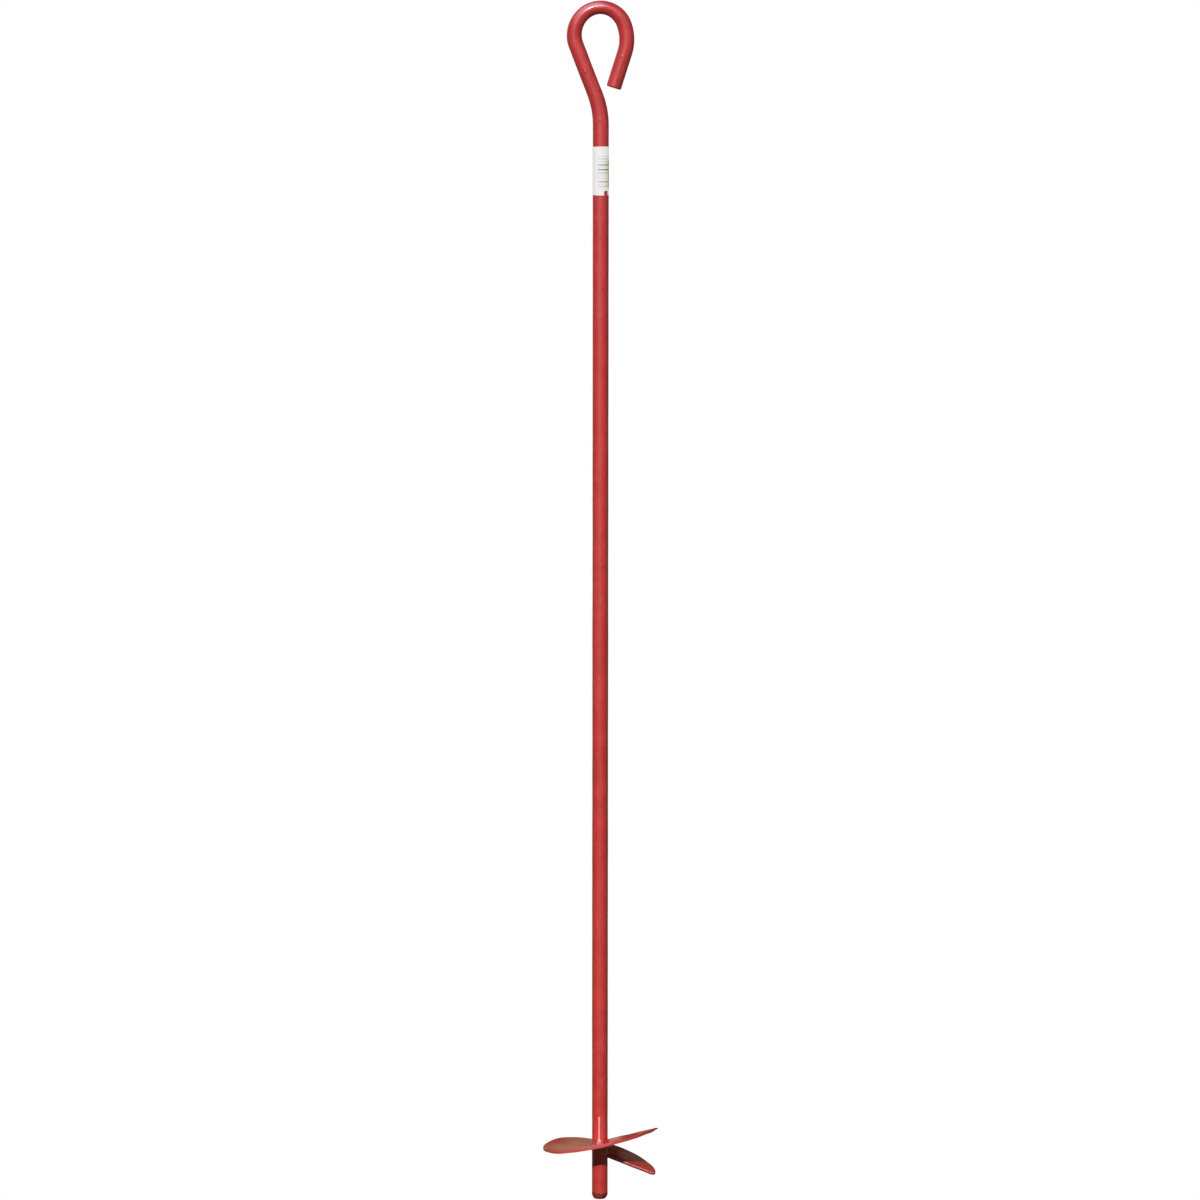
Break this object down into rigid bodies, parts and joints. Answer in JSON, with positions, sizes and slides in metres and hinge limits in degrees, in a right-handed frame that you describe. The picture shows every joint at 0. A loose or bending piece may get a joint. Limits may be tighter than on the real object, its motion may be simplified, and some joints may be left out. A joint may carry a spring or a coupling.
{
  "type": "earth anchor",
  "caption": "Screw-in earth anchor: red enamelled round bar with a one-turn helix plate welded near its foot and an open eye bent in its head.",
  "frame": {"origin": "centre of the flat face at the foot of the bar", "axes": "+Z along the straight shank towards the eye; the eye lies in the XZ plane with its free end to +X; the slit of the helix faces +X"},
  "size_m": [0.0972, 0.096, 1.016],
  "materials": {
    "bar_enamel": "glossy red dipped enamel over hot-rolled round bar, with fine draw lines and small nibs",
    "plate_enamel": "glossy red dipped enamel over sheared steel plate",
    "weld_enamel": "red enamel over a rippled fillet weld",
    "label_film": null
  },
  "bodies": {
    "root": {"eye_rod": "bar_enamel", "helix_plate": "plate_enamel", "upper_weld_bead": "weld_enamel", "lower_weld_bead": "weld_enamel", "barcode_label": "label_film"}
  },
  "joints": []
}
